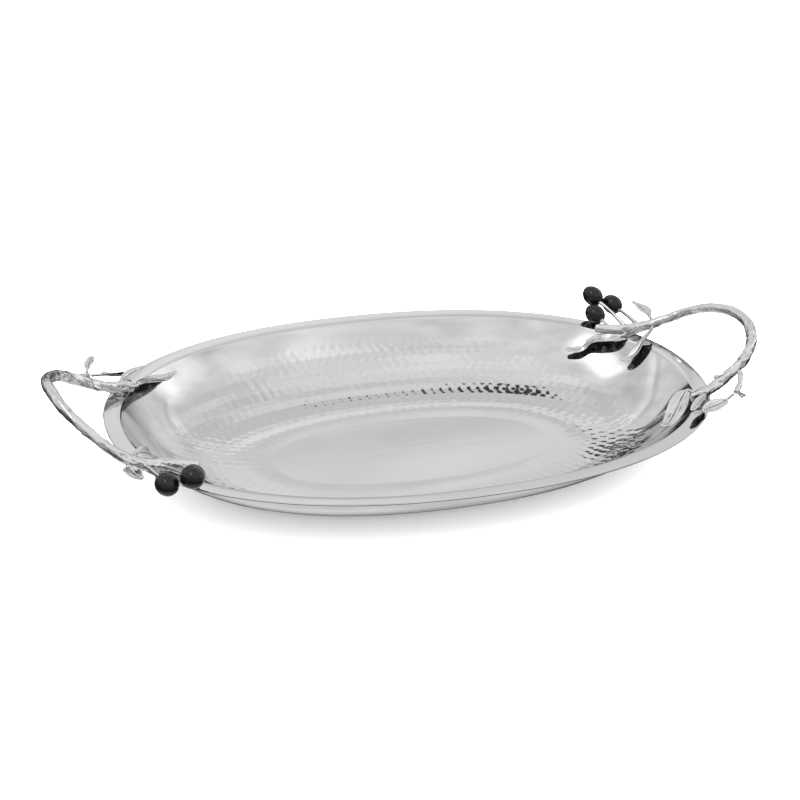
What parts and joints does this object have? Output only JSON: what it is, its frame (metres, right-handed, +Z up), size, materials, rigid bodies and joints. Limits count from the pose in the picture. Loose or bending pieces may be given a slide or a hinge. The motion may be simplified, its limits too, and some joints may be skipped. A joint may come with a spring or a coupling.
{
  "type": "serving tray",
  "caption": "Shallow oval serving tray with a hammered bowl, a plain rim and two cast olive-branch loop handles with leaves and olives",
  "frame": {"origin": "the middle of the flat base, on the surface that the tray stands on", "axes": "+X along the tray from the left handle to the right handle, +Y away from the viewer across the tray, +Z up"},
  "size_m": [0.5206, 0.2868, 0.0838],
  "materials": {
    "tray_steel": "polished stainless steel, hammered inside and plain on the rim",
    "branch_metal": "nickel plated casting, bright on the high places and dark in the folds",
    "olive_enamel": "glossy black enamel",
    "fastener_steel": "plain stainless steel"
  },
  "bodies": {
    "root": {"tray_bowl": "tray_steel", "right_branch": "branch_metal", "right_fork_twig": "branch_metal", "right_inner_leaf": "branch_metal", "right_rim_leaf": "branch_metal", "right_bud_leaf": "branch_metal", "right_large_leaf": "branch_metal", "right_blade_leaf": "branch_metal", "right_trailing_leaf": "branch_metal", "right_fork_leaf": "branch_metal", "right_upper_stem": "branch_metal", "right_inner_stem": "branch_metal", "right_outer_stem": "branch_metal", "right_upper_olive": "olive_enamel", "right_inner_olive": "olive_enamel", "right_outer_olive": "olive_enamel", "right_foot_screws": "fastener_steel", "right_foot_washers": "fastener_steel", "left_branch": "branch_metal", "left_fork_twig": "branch_metal", "left_inner_leaf": "branch_metal", "left_rim_leaf": "branch_metal", "left_bud_leaf": "branch_metal", "left_large_leaf": "branch_metal", "left_blade_leaf": "branch_metal", "left_trailing_leaf": "branch_metal", "left_fork_leaf": "branch_metal", "left_upper_stem": "branch_metal", "left_inner_stem": "branch_metal", "left_outer_stem": "branch_metal", "left_upper_olive": "olive_enamel", "left_inner_olive": "olive_enamel", "left_outer_olive": "olive_enamel", "left_foot_screws": "fastener_steel", "left_foot_washers": "fastener_steel"}
  },
  "joints": []
}
